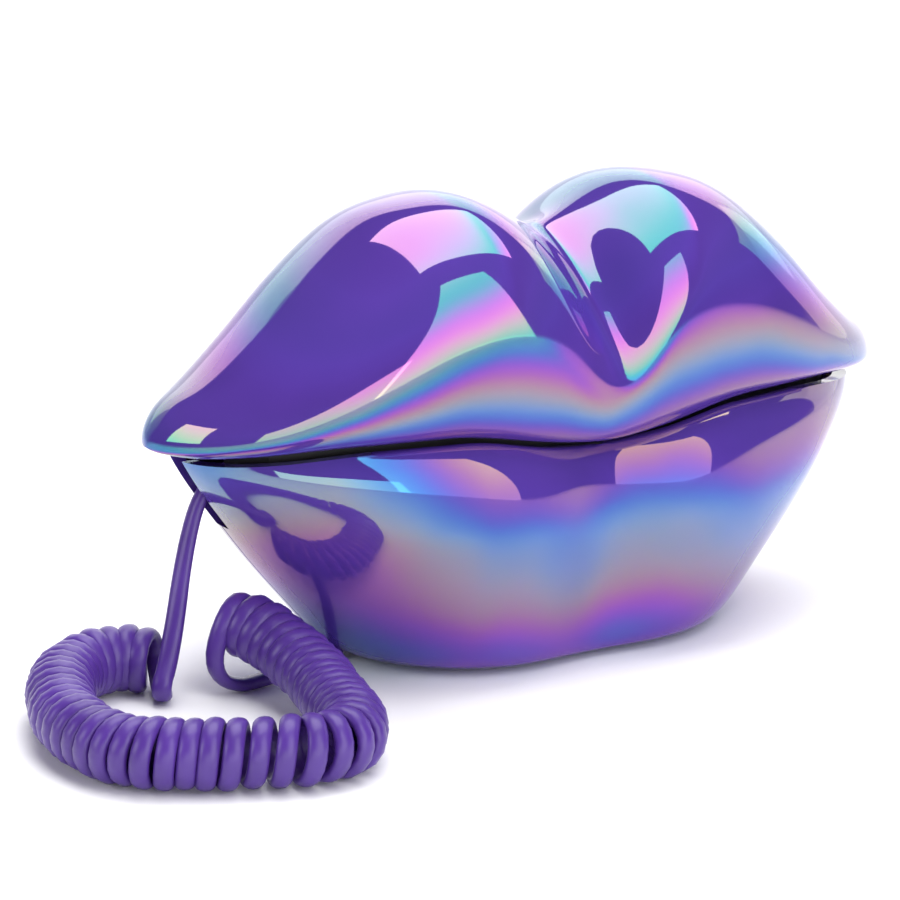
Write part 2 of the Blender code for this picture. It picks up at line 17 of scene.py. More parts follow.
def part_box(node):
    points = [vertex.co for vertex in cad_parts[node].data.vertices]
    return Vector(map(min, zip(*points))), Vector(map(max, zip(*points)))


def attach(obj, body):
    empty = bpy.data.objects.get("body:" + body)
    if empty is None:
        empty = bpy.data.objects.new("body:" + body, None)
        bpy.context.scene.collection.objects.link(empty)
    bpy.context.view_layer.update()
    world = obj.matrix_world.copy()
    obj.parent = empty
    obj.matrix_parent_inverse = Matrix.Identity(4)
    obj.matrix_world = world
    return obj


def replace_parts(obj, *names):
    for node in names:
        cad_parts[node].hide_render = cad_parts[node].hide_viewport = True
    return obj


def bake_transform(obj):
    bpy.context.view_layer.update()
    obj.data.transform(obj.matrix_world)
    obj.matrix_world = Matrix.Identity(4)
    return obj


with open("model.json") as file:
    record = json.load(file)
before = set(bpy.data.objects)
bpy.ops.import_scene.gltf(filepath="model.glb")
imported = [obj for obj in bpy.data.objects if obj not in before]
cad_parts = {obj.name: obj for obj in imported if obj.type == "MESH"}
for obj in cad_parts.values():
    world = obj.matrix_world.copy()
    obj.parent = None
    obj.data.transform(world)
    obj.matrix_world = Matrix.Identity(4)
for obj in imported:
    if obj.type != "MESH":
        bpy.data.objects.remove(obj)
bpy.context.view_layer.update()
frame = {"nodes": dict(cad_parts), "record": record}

MM = 0.001
CENTRE_Y = 7.17

# Upper lip; RIDGE, EQUATOR and PARTING give heights at a distance from the middle
LIP_HALF = 107.0
LIP_FRONT = 49.0
LIP_BACK = 36.0
RIDGE_SHIFT = -9.0
TIP_ROUND = 9.0
FOOT = 1.0
RIDGE = ((0, 108.5), (10, 112), (28, 118.4), (45, 115.8), (62, 104.2), (78, 88.2), (92, 76.6), (107, 69))
EQUATOR = ((0, 73), (8, 76.5), (18, 84), (30, 86.7), (42, 84.5), (55, 79), (70, 72), (85, 66.5),
           (107, 61))
PARTING = ((0, 57.5), (15, 59), (45, 63.5), (70, 63), (90, 61), (107, 59))
PARTING_TUCK = 6.0
ROLL_SHARE = 0.16
GROOVE = ((0, 0), (0.06, 0.25), (0.2, 0.8), (0.5, 1), (0.8, 0.75), (1, 0.35))
GROOVE_DEPTH = 10.0
GROOVE_WIDTH = (4.5, 8.0)
UPPER_FULLNESS = (2.6, 0.55)
SHELL_WALL = 2.6
TIP_WALL = 1.8
RIDGE_WALL = 1.15

# Lower lip; each row of HULL is a share of the height, then height, half length and depth
HULL = ((0.0, 0.0, 49, 33), (0.03, 0.0, 53, 36.5), (0.08, 1.5, 56.5, 39), (0.25, 13, 67, 43.5),
        (0.48, 27.7, 79.5, 48), (0.66, 38.3, 87.6, 50), (0.82, 47.5, 94.6, 49), (0.92, 52.6, 98, 46.2),
        (1.0, 55, 99.5, 42.5))
HULL_LOBE = 0.05
HULL_DIP = 0.15
HULL_DIP_BY_SHARE = ((0, 0.15), (0.08, 0.3), (0.4, 0.9), (0.7, 0.85), (1, 0.6))
HULL_SAG = 0.06
HULL_FULLNESS = (2.8, 0.5)
LIP_SPACE = 2.0
FLOOR_WALL = 2.4
OPENING = (45.0, 30.0, 20.5)
CORD_SLOT = ((-130, -3.5, 39), (-80, 3.5, 90))
CORD_CHANNEL = ((-75, -4.5, -2), (-38, 4.5, 7.6))
SEAM = 0.15

# Cord, from the handset's end through the coil's axis to the base's socket
CORD_WIDTH = 4.9
CORD_THICK = 3.3
COIL_RADIUS = 6.8
COIL_TURNS = 48
TURN_POINTS = 16
COIL_LOOSE_AT = 0.555
COIL_LOOSE_OVER = 0.05
COIL_LOOSE = 0.42
COIL_JOINS = (2, 4)
JOIN_POINTS = 9
HANDSET_TAIL = ((-81.5, 0, 60.9), (-81.6, 0, 57.6), (-82.6, 0, 54.9), (-85.6, 0, 53.2),
                (-89.6, 0, 50.6), (-93.2, -0.2, 46.0), (-96.2, -1.0, 39.0), (-99.6, -3.2, 30.0),
                (-103.2, -6.4, 20.0), (-106.4, -9.4, 12.8), (-109.0, -11.9, 8.4),
                (-111.2, -13.9, 5.8), (-112.0, -14.8, 3.9), (-110.9, -13.6, 2.4),
                (-109.0, -10.4, 2.0), (-108.0, -6.6, 1.9))
COIL_ROUTE = ((-107.4, -2.6, 8.7), (-115.6, 2.4, 8.7), (-126.5, 0.6, 8.7), (-137.2, -12, 8.7),
              (-144.8, -32, 8.7), (-146, -50, 8.7), (-140.4, -63.6, 8.7), (-130, -71.3, 8.7),
              (-117, -77.8, 8.7), (-106, -82.2, 8.7), (-95.5, -79.5, 8.7), (-89, -68, 8.7),
              (-85, -52, 9.2), (-82.5, -38, 10.8), (-83, -26.5, 13.4), (-86.2, -17, 16.4),
              (-91.2, -10.5, 18.2))
BASE_TAIL = ((-97.0, -14.4, 12.8), (-96.8, -14.2, 7.8), (-94.4, -13.9, 3.7), (-89.6, -13.5, 1.9),
             (-83, -12.4, 1.7), (-75, -9.6, 1.7), (-66, -4.5, 1.7), (-57, -1.2, 2.1), (-50, -0.3, 3.3),
             (-44, 0, 5.4), (-38.0, 0, 6.1))

# Pearl film, in nanometres: by how far the upper lip faces sideways, and by height on the lower lip
FILM_PARTING = 111.0
FILM_BY_SIDE = ((-1, 339), (-0.2, 339), (-0.06, 325), (0.02, 281), (0.26, 249), (0.35, 234), (1, 199))
FILM_CLIMB = ((-4, 8.2), (10, 6.9))
FILM_LOWER = ((5, 310), (15, 271), (19, 250), (24, 230), (29, 215), (35, 201), (39, 187), (44, 161),
              (50, 138), (59, 111))
FILM_END = 2.3
FILM_END_MOST = 82.0
FILM_SIDE = 17.0
FILM_RANGE = (45.0, 610.0)
FILM_DRIFT = 9.0

# Keys
KEY_EDGE = 0.9
KEY_DISH = 0.35
KEY_MARK = 5.5

# Stage, from its near edge to where it bends up behind
STAGE_NEAR = -1220
STAGE_FAR = 900
STAGE_BEND = 500
STAGE_TOP = 1180
STAGE_SIDE = 3000

# Camera
VIEW_TURN = -32.0
VIEW_RISE = 14.0
VIEW_DISTANCE = 950.0
VIEW_TARGET = (0.0, CENTRE_Y, 59.0)
LENS = 146.7
SHIFT = (-0.0756, -0.0522)


# Curves

def along(points, at):
    """A smooth curve through (key, value) points that never overshoots, level at its start."""
    keys = [key for key, _ in points]
    values = [value for _, value in points]
    at = min(max(at, keys[0]), keys[-1])
    rises = [(values[i + 1] - values[i]) / (keys[i + 1] - keys[i]) for i in range(len(keys) - 1)]
    slopes = [0.0]
    for before, after in zip(rises, rises[1:]):
        slopes.append(0.0 if before * after <= 0 else 2 * before * after / (before + after))
    slopes.append(rises[-1])
    i = max(j for j in range(len(rises)) if keys[j] <= at)
    width = keys[i + 1] - keys[i]
    t = (at - keys[i]) / width
    return ((2 * t ** 3 - 3 * t ** 2 + 1) * values[i] + (t ** 3 - 2 * t ** 2 + t) * width * slopes[i]
            + (3 * t ** 2 - 2 * t ** 3) * values[i + 1] + (t ** 3 - t ** 2) * width * slopes[i + 1])


def fullness(x, half, depth, power, roundness):
    """How far a lip reaches out at x, from its full depth in the middle to none at its corner."""
    return depth * max(1 - min(abs(x) / half, 1) ** power, 0) ** roundness


def upper_point(x, share, inset):
    """A point on the upper lip at x; share runs 0 to 1 from the front parting over to the back."""
    far = abs(x)
    half = LIP_HALF - TIP_WALL * inset
    back = share > 0.5
    share = 1 - share if back else share
    nearness = min(max((far - half + TIP_ROUND) / TIP_ROUND, 0), 1)
    closing = math.sqrt(1 - nearness ** 2)
    mid = along(EQUATOR, far)
    top = mid + (along(RIDGE, far) - RIDGE_WALL * inset - mid) * closing
    low = mid + (along(PARTING, far) - mid) * closing
    front_depth = fullness(x, half, LIP_FRONT - inset, *UPPER_FULLNESS)
    depth = fullness(x, half, LIP_BACK - inset, *UPPER_FULLNESS) if back else front_depth
    crest = RIDGE_SHIFT * front_depth / LIP_FRONT * (-1 if back else 1)
    if share < ROLL_SHARE:
        turn = (1 - share / ROLL_SHARE) * math.pi / 2
        y = -(depth - min(PARTING_TUCK, depth / 2) * (1 - math.cos(turn)))
        z = mid - (mid - low) * math.sin(turn)
    else:
        climb = (share - ROLL_SHARE) / (0.5 - ROLL_SHARE)
        turn = climb * math.pi / 2
        y = crest + (-depth - crest) * max(math.cos(turn), 0) ** 0.95
        z = mid + (top - mid) * math.sin(turn)
        width = GROOVE_WIDTH[0] + GROOVE_WIDTH[1] * climb + inset * 0.5
        groove = GROOVE_DEPTH * along(GROOVE, climb) * math.exp(-(far / width) ** 1.6)
        y += groove * math.cos(turn * 0.6)
        z -= groove * math.sin(turn) * 0.5
    return x, -y if back else y, z + FOOT


def hull_point(turn, share, inset):
    """A point on the lower lip: turn goes round it from +X by the back, share goes up it."""
    height, half = (along([(row[0], row[i]) for row in HULL], share) for i in (1, 2))
    half -= inset * 1.25
    x = half * math.cos(turn)
    sag = HULL_SAG * math.exp(-(x / 18) ** 2) * 4 * share * (1 - share)
    depth = along([(row[0], row[3]) for row in HULL], share + sag)
    front = math.sin(turn) < -1e-9
    y = fullness(x, half, depth, *HULL_FULLNESS)
    lobe = HULL_LOBE * math.exp(-((abs(x) - 32) / 18) ** 2)
    dip = HULL_DIP * math.exp(-(x / 14) ** 2) * along(HULL_DIP_BY_SHARE, share)
    y *= 1 + lobe - dip if front else LIP_BACK / LIP_FRONT
    y = max(y - inset * min(y / 8, 1), 0)
    wave = along(PARTING, min(abs(x) * LIP_HALF / half, LIP_HALF)) - LIP_SPACE - HULL[-1][1]
    z = height + wave * along(((0, 0), (0.5, 0.15), (1, 1)), share) + FOOT
    return x, -y if front else y, z


def softened(grid, passes, wrap=False):
    """Evens out a grid of points row by row and column by column, leaving its borders."""
    for _ in range(passes):
        if wrap:
            grid = 0.5 * grid + 0.25 * (np.roll(grid, 1, 0) + np.roll(grid, -1, 0))
        else:
            grid[1:-1] = 0.5 * grid[1:-1] + 0.25 * (grid[:-2] + grid[2:])
        grid[:, 1:-1] = 0.5 * grid[:, 1:-1] + 0.25 * (grid[:, :-2] + grid[:, 2:])
    return grid


def smooth_route(points, step):
    """Points at an even spacing along a smooth curve through the route's own points."""
    dense = []
    last = len(points) - 1
    for i in range(last):
        p0, p1, p2, p3 = (Vector(points[min(max(i + k, 0), last)]) for k in (-1, 0, 1, 2))
        for part in range(24):
            t = part / 24
            dense.append(0.5 * (2 * p1 + (p2 - p0) * t + (2 * p0 - 5 * p1 + 4 * p2 - p3) * t ** 2
                                + (3 * p1 - p0 - 3 * p2 + p3) * t ** 3))
    dense.append(Vector(points[-1]))
    dense = np.array([tuple(p) for p in dense])
    walked = np.concatenate(([0], np.cumsum(np.linalg.norm(np.diff(dense, axis=0), axis=1))))
    count = max(round(walked[-1] / step), 2)
    places = np.linspace(0, walked[-1], count + 1)
    return np.stack([np.interp(places, walked, dense[:, k]) for k in range(3)], axis=1)


# Node materials

class Paint:
    """Small helpers that build one material's node tree."""

    def __init__(self, name):
        self.material = bpy.data.materials.new(name)
        self.material.use_nodes = True
        self.tree = self.material.node_tree
        self.shader = self.tree.nodes["Principled BSDF"]

    def node(self, kind, **settings):
        made = self.tree.nodes.new("ShaderNode" + kind)
        for key, value in settings.items():
            setattr(made, key, value)
        return made

    def link(self, source, target):
        self.tree.links.new(source, target)

    def set(self, **values):
        for key, value in values.items():
            self.shader.inputs[key.replace("_", " ")].default_value = value

    def position(self):
        return self.node("TexCoord").outputs["Object"]

    def noise(self, scale, detail=3.0, roughness=0.5, vector=None):
        made = self.node("TexNoise")
        made.inputs["Scale"].default_value = scale
        made.inputs["Detail"].default_value = detail
        made.inputs["Roughness"].default_value = roughness
        self.link(vector or self.position(), made.inputs["Vector"])
        return made.outputs["Fac"]

    def spread(self, value, low, high, from_low=0.0, from_high=1.0):
        made = self.node("MapRange")
        made.inputs["From Min"].default_value = from_low
        made.inputs["From Max"].default_value = from_high
        made.inputs["To Min"].default_value = low
        made.inputs["To Max"].default_value = high
        self.link(value, made.inputs["Value"])
        return made.outputs["Result"]

    def ramp(self, value, stops):
        made = self.node("ValToRGB")
        ramp = made.color_ramp
        while len(ramp.elements) < len(stops):
            ramp.elements.new(0.5)
        for element, (at, colour) in zip(ramp.elements, stops):
            element.position = at
            element.color = (*colour, 1.0)
        self.link(value, made.inputs["Fac"])
        return made.outputs["Color"]

    def bump(self, value, strength, distance, into="Normal"):
        made = self.node("Bump")
        made.inputs["Strength"].default_value = strength
        made.inputs["Distance"].default_value = distance
        self.link(value, made.inputs["Height"])
        self.link(made.outputs["Normal"], self.shader.inputs[into])
        return made


def pearl_paint(name):
    """Violet plastic under a thin film of high index, whose thickness each vertex carries."""
    paint = Paint(name)
    paint.set(Roughness=0.04, IOR=1.5, Thin_Film_IOR=1.95, Coat_Weight=0.1, Coat_Roughness=0.02)
    film = paint.node("Attribute", attribute_name="film")
    drift = paint.noise(26.0, 2.0, 0.5)
    thickness = paint.node("Math", operation="ADD")
    paint.link(film.outputs["Fac"], thickness.inputs[0])
    paint.link(paint.spread(drift, -FILM_DRIFT, FILM_DRIFT, 0.3, 0.7), thickness.inputs[1])
    paint.link(thickness.outputs["Value"], paint.shader.inputs["Thin Film Thickness"])
    colour = paint.ramp(drift, ((0.25, (0.061, 0.029, 0.26)), (0.5, (0.072, 0.034, 0.28)),
                                (0.75, (0.081, 0.036, 0.30))))
    paint.link(colour, paint.shader.inputs["Base Color"])
    return paint.material


def cord_paint(name):
    """Satin violet jacket with faint drawing lines and handling marks."""
    paint = Paint(name)
    paint.set(IOR=1.48, Coat_Weight=0.05, Coat_Roughness=0.4)
    fine = paint.noise(900.0, 2.0)
    broad = paint.noise(60.0, 3.0)
    colour = paint.ramp(broad, ((0.3, (0.061, 0.022, 0.205)), (0.7, (0.083, 0.031, 0.27))))
    paint.link(colour, paint.shader.inputs["Base Color"])
    paint.link(paint.spread(fine, 0.30, 0.42), paint.shader.inputs["Roughness"])
    paint.bump(fine, 0.15, 0.0001)
    return paint.material


def plastic_paint(name, colour, roughness=0.4, grain=1400.0, depth=0.00008, spread=0.25):
    """Moulded plastic: fine spark grain, slight colour drift and soft polish marks."""
    paint = Paint(name)
    fine = paint.noise(grain, 2.0)
    broad = paint.noise(35.0, 4.0)
    dark = tuple(c * (1 - spread) for c in colour)
    light = tuple(min(c * (1 + spread) + 0.002, 1) for c in colour)
    paint.link(paint.ramp(broad, ((0.3, dark), (0.7, light))), paint.shader.inputs["Base Color"])
    paint.link(paint.spread(broad, roughness - 0.07, roughness + 0.07, 0.3, 0.7),
               paint.shader.inputs["Roughness"])
    paint.bump(fine, 0.3, depth)
    return paint.material


def metal_paint(name, colour, roughness=0.3):
    """Drawn or plated metal with fine streaks and a little dulling."""
    paint = Paint(name)
    paint.set(Metallic=1.0)
    stretch = paint.node("Mapping")
    stretch.inputs["Scale"].default_value = (1.0, 1.0, 30.0)
    paint.link(paint.position(), stretch.inputs["Vector"])
    streaks = paint.noise(120.0, 4.0, 0.6, stretch.outputs["Vector"])
    dark = tuple(c * 0.75 for c in colour)
    paint.link(paint.ramp(streaks, ((0.3, dark), (0.7, colour))), paint.shader.inputs["Base Color"])
    paint.link(paint.spread(streaks, roughness - 0.08, roughness + 0.12, 0.3, 0.7),
               paint.shader.inputs["Roughness"])
    paint.bump(streaks, 0.1, 0.00005)
    return paint.material


def board_paint(name):
    """Green solder mask with copper tracks showing through."""
    paint = Paint(name)
    paint.set(Roughness=0.28, Coat_Weight=0.4, Coat_Roughness=0.1)
    tracks = paint.node("TexBrick")
    tracks.inputs["Scale"].default_value = 140.0
    tracks.inputs["Mortar Size"].default_value = 0.035
    tracks.inputs["Color1"].default_value = (0.01, 0.12, 0.05, 1)
    tracks.inputs["Color2"].default_value = (0.012, 0.15, 0.06, 1)
    tracks.inputs["Mortar"].default_value = (0.05, 0.30, 0.12, 1)
    paint.link(paint.position(), tracks.inputs["Vector"])
    paint.link(tracks.outputs["Color"], paint.shader.inputs["Base Color"])
    paint.bump(tracks.outputs["Fac"], 0.2, 0.00005)
    return paint.material


def clear_paint(name):
    """Clear moulded plastic with faint clouding."""
    paint = Paint(name)
    paint.set(IOR=1.49, Transmission_Weight=0.75, Alpha=1.0)
    cloud = paint.noise(200.0, 3.0)
    paint.link(paint.ramp(cloud, ((0.3, (0.75, 0.77, 0.82)), (0.7, (0.92, 0.93, 0.96)))),
               paint.shader.inputs["Base Color"])
    paint.link(paint.spread(cloud, 0.08, 0.22), paint.shader.inputs["Roughness"])
    return paint.material


# Meshes

def place(x, y, z):
    """A point given from the lips' middle plane in millimetres, in the frame's metres."""
    return float(x) * MM, (float(y) + CENTRE_Y) * MM, float(z) * MM


def node_box(node):
    """A CAD node's lowest and highest corners, in millimetres from the lips' middle plane."""
    return [corner / MM - Vector((0, CENTRE_Y, 0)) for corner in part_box(node)]


def mesh_object(name, points, faces, paint, body, sharp=40.0):
    """A smooth shaded piece, with edges kept crisp where its faces turn by more than sharp degrees."""
    mesh = bpy.data.meshes.new(name)
    mesh.from_pydata([place(*p) for p in points], [], faces)
    work = bmesh.new()
    work.from_mesh(mesh)
    bmesh.ops.recalc_face_normals(work, faces=work.faces)
    work.to_mesh(mesh)
    work.free()
    mesh.shade_smooth()
    mesh.set_sharp_from_angle(angle=math.radians(sharp))
    made = bpy.data.objects.new(name, mesh)
    bpy.context.collection.objects.link(made)
    mesh.materials.append(paint)
    if body:
        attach(made, body)
    return made


def key_cap(name, low, high, paint, body):
    """A moulded key with rounded edges and a dished face, which looks down."""
    work = bmesh.new()
    bmesh.ops.create_cube(work, size=1.0)
    for vert in work.verts:
        for axis in range(3):
            vert.co[axis] = low[axis] if vert.co[axis] < 0 else high[axis]
    bmesh.ops.bevel(work, geom=work.edges[:], offset=KEY_EDGE, segments=3, profile=0.5, affect="EDGES")
    under = min(work.faces, key=lambda face: face.calc_center_median().z)
    bmesh.ops.inset_region(work, faces=[under], thickness=(high[0] - low[0]) * 0.16)
    for vert in under.verts:
        vert.co.z += KEY_DISH
    points = [tuple(vert.co) for vert in work.verts]
    work.verts.index_update()
    faces = [[vert.index for vert in face.verts] for face in work.faces]
    work.free()
    return mesh_object(name, points, faces, paint, body)


def cutter(name, boxes):
    """One mesh of plain boxes that a shell's holes are cut with."""
    work = bmesh.new()
    for low, high in boxes:
        middle = place(*((low[k] + high[k]) / 2 for k in range(3)))
        box = bmesh.ops.create_cube(work, size=1.0)
        bmesh.ops.scale(work, vec=[(high[k] - low[k]) * MM for k in range(3)], verts=box["verts"])
        bmesh.ops.translate(work, vec=middle, verts=box["verts"])
    mesh = bpy.data.meshes.new(name)
    work.to_mesh(mesh)
    work.free()
    made = bpy.data.objects.new(name, mesh)
    bpy.context.collection.objects.link(made)
    return made


# Cord

def unit(vector):
    return vector / np.linalg.norm(vector)


def coil_path():
    """The curl's centreline and the direction of the cord's flat width at each point."""
    axis = smooth_route(COIL_ROUTE, 0.8)
    steps = np.linalg.norm(np.diff(axis, axis=0), axis=1)
    walked = np.concatenate(([0], np.cumsum(steps)))
    share = walked / walked[-1]
    looseness = 1 + COIL_LOOSE * np.exp(-((share - COIL_LOOSE_AT) / COIL_LOOSE_OVER) ** 2)
    turns = np.concatenate(([0], np.cumsum(steps / looseness[1:])))
    turns *= COIL_TURNS / turns[-1]
    count = COIL_TURNS * TURN_POINTS
    centres, wides = [], []
    for i in range(count + 1):
        turned = COIL_TURNS * i / count
        at = np.interp(turned, turns, walked)
        centre = np.array([np.interp(at, walked, axis[:, k]) for k in range(3)])
        ahead = np.array([np.interp(min(at + 3, walked[-1]), walked, axis[:, k]) for k in range(3)])
        behind = np.array([np.interp(max(at - 3, 0), walked, axis[:, k]) for k in range(3)])
        forward = unit(ahead - behind)
        side = unit(np.cross(forward, (0.0, 0.0, 1.0)))
        up = np.cross(side, forward)
        angle = math.pi - 2 * math.pi * turned
        # No two turns are quite alike.
        wobble = 1 + 0.025 * math.sin(turned * 2.1) + 0.02 * math.sin(turned * 5.3 + 1)
        radius = COIL_RADIUS * wobble
        centres.append(centre + radius * (math.cos(angle) * up + math.sin(angle) * side))
        wides.append(forward)
    return centres, wides


def cord_path():
    """The whole cord from plug to plug."""
    first = smooth_route(HANDSET_TAIL, 2.0)
    last = smooth_route(BASE_TAIL, 2.0)
    coil, coil_wide = (np.array(part)[COIL_JOINS[0]:-COIL_JOINS[1]] for part in coil_path())
    path = np.concatenate((first, coil, last))
    twist = np.clip((np.arange(len(first)) / len(first) - 0.25) / 0.5, 0, 1)[:, None]
    hanging = (1 - twist) * np.array((0.0, 1.0, 0.0)) + twist * np.array((-0.85, 0.53, 0.0))
    wide = np.concatenate((hanging, coil_wide, np.tile((0.0, 1.0, 0.0), (len(last), 1))))
    start, end = len(first), len(first) + len(coil)
    for i in range(JOIN_POINTS):
        blend = (i + 1) / (JOIN_POINTS + 1)
        before, after = start - JOIN_POINTS + i, end + JOIN_POINTS - 1 - i
        wide[before] = unit((1 - blend) * wide[before] + blend * wide[start])
        wide[after] = unit((1 - blend) * wide[after] + blend * wide[end - 1])
    near = np.array([i for i in range(len(path)) if min(abs(i - start), abs(i - end)) < JOIN_POINTS - 1])
    for _ in range(3):
        path[near] = 0.5 * path[near] + 0.25 * (path[near - 1] + path[near + 1])
    return path, wide


def flat_section(sides=14):
    """The cord's cross section: flat, with well rounded edges."""
    section = []
    for i in range(sides):
        turn = 2 * math.pi * (i + 0.5) / sides
        c, s = math.cos(turn), math.sin(turn)
        section.append((CORD_WIDTH / 2 * math.copysign(abs(c) ** 0.95, c),
                        CORD_THICK / 2 * math.copysign(abs(s) ** 0.9, s)))
    return section


def handset_cord(paint):
    """The flat cord as one piece, from plug to plug."""
    path, wides = cord_path()
    section = flat_section()
    sides = len(section)
    points, faces = [], []
    for i, centre in enumerate(path):
        forward = unit(path[min(i + 1, len(path) - 1)] - path[max(i - 1, 0)])
        wide = unit(wides[i] - forward * np.dot(wides[i], forward))
        thin = np.cross(forward, wide)
        points += [centre + wide * across + thin * through for across, through in section]
    for i in range(len(path) - 1):
        for j in range(sides):
            k = (j + 1) % sides
            a, b = i * sides, (i + 1) * sides
            faces.append((a + j, a + k, b + k, b + j))
    faces.append(list(range(sides)))
    faces.append(list(range((len(path) - 1) * sides, len(path) * sides)))
    made = mesh_object("handset_cord", points, faces, paint, None, 60)
    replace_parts(made, "handset_tail", "curly_cord", "base_tail")
    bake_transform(made)


# Lips

def film_upper(x, z, sideways):
    """Film thickness in nm on the upper lip: it grows from the parting up, most on the left."""
    belly = along(EQUATOR, min(abs(x), LIP_HALF)) + FOOT
    parting = along(PARTING, min(abs(x), LIP_HALF)) + FOOT
    rise = max((z - parting) / max(belly - parting, 2.0), 0)
    at_belly = along(FILM_BY_SIDE, sideways)
    if rise < 1:
        return FILM_PARTING + (at_belly - FILM_PARTING) * rise
    return at_belly + along(FILM_CLIMB, x) * (z - belly)


def film_lower(x, z, sideways):
    """Film thickness in nm on the lower lip: it grows downwards and towards the cord's end."""
    towards_end = min(FILM_END * max(-x - 38, 0), FILM_END_MOST)
    return along(FILM_LOWER, z) + towards_end - FILM_SIDE * max(sideways, 0)


def add_film(made, rule):
    """Stores the film's thickness on each of a shell's points, for its material to read."""
    mesh = made.data
    sideways = [vert.normal.x for vert in mesh.vertices]
    film = mesh.attributes.new("film", "FLOAT", "POINT")
    least, most = FILM_RANGE
    values = [min(max(rule(vert.co.x / MM, vert.co.z / MM, facing), least), most)
              for vert, facing in zip(mesh.vertices, sideways)]
    film.data.foreach_set("value", values)


def upper_lip(paint):
    """The handset's shell: a fine outer skin, an inner skin and the rim between them."""
    across, around = 200, 110
    turns = np.linspace(-1, 1, across + 2)[1:-1] * math.pi / 2
    grids = []
    for inset in (0.0, SHELL_WALL):
        half = LIP_HALF - TIP_WALL * inset
        grid = np.array([[upper_point(half * math.sin(t), j / around, inset) for j in range(around + 1)]
                         for t in turns])
        grids.append(softened(grid, 14))
    points = [tuple(p) for grid in grids for row in grid for p in row]
    size = around + 1
    inner = across * size
    faces = []
    for i in range(across - 1):
        for j in range(around):
            a, b = i * size + j, (i + 1) * size + j
            faces.append((a, a + 1, b + 1, b))
            faces.append((inner + a + 1, inner + a, inner + b, inner + b + 1))
        a, b = i * size, (i + 1) * size
        faces.append((a, b, inner + b, inner + a))
        faces.append((a + around, b + around, inner + b + around, inner + a + around))
    tip_z = along(EQUATOR, LIP_HALF) + FOOT
    for i, side in ((0, -1), (across - 1, 1)):
        outer_tip, inner_tip = len(points), len(points) + 1
        points += [(side * LIP_HALF, 0, tip_z), (side * (LIP_HALF - TIP_WALL * SHELL_WALL), 0, tip_z)]
        row = i * size
        for j in range(around):
            faces.append((row + j, row + j + 1, outer_tip))
            faces.append((inner + row + j + 1, inner + row + j, inner_tip))
        faces.append((row, outer_tip, inner_tip, inner + row))
        faces.append((row + around, outer_tip, inner_tip, inner + row + around))
    made = mesh_object("upper_lip", points, faces, paint, "handset", 50)
    add_film(made, film_upper)
    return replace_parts(made, "handset_shell")


def lower_lip(name, front, paint, node, holes):
    """One half of the base's shell, from rim to underside and back up inside."""
    around, up = 120, 60
    whole = 2 * around
    outer = np.array([[hull_point(2 * math.pi * i / whole, j / up, 0.0) for j in range(up + 1)]
                      for i in range(whole)])
    outer = softened(outer, 10, wrap=True)
    inner = np.array([[hull_point(2 * math.pi * i / whole, 0.08 + 0.92 * j / up, SHELL_WALL)
                       for j in range(up + 1)] for i in range(whole)])
    start = around if front else 0
    rows = []
    for k in range(around + 1):
        i = (start + k) % whole
        turn = 2 * math.pi * i / whole
        x = OPENING[0] * math.cos(turn)
        depth = OPENING[1] if front else OPENING[2]
        y = fullness(x, OPENING[0], depth, *HULL_FULLNESS) * (-1 if front else 1)
        floor = inner[i][0].copy()
        floor[2] = FOOT + FLOOR_WALL
        inside = inner[i].copy()
        inside[0][2] = FOOT + FLOOR_WALL + 1.5
        row = [*outer[i][::-1], (x, y, FOOT), (x, y, FOOT + FLOOR_WALL), floor, *inside]
        rows.append([(p[0], -max(-p[1], SEAM) if front else max(p[1], SEAM), p[2]) for p in row])
    size = len(rows[0])
    points = [p for row in rows for p in row]
    faces = []
    for i in range(around):
        for j in range(size):
            k = (j + 1) % size
            faces.append((i * size + j, i * size + k, (i + 1) * size + k, (i + 1) * size + j))
    faces.append(list(range(size)))
    faces.append(list(range(around * size, (around + 1) * size)))
    made = mesh_object(name, points, faces, paint, "base", 50)
    tool = cutter(name + "_tool", holes)
    cut = made.modifiers.new(tool.name, "BOOLEAN")
    cut.operation = "DIFFERENCE"
    cut.object = tool
    cut.solver = "EXACT"
    bpy.context.view_layer.objects.active = made
    bpy.ops.object.modifier_apply(modifier=cut.name)
    bpy.data.objects.remove(tool, do_unlink=True)
    add_film(made, film_lower)
    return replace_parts(made, node)


def lips(paint):
    """All three lip shells, and the holes for the cord, the line socket and the two switches."""
    upper_lip(paint)
    holes = [CORD_SLOT, CORD_CHANNEL]
    lower_lip("lower_lip_front", True, paint, "base_front_shell", holes)
    low, high = node_box("line_jack")
    x = (low.x + high.x) / 2
    holes.append(((x - 8.3, 25, 15.6), (x + 8.3, 45, 29.2)))
    for name in ("ringer_switch_body", "dial_switch_body"):
        low, high = node_box(name)
        x, z = (low.x + high.x) / 2, (low.z + high.z) / 2
        holes.append(((x - 5, 28, z - 2.3), (x + 5, 45, z + 2.3)))
    lower_lip("lower_lip_rear", False, paint, "base_rear_shell", holes)


# Keys and the rest

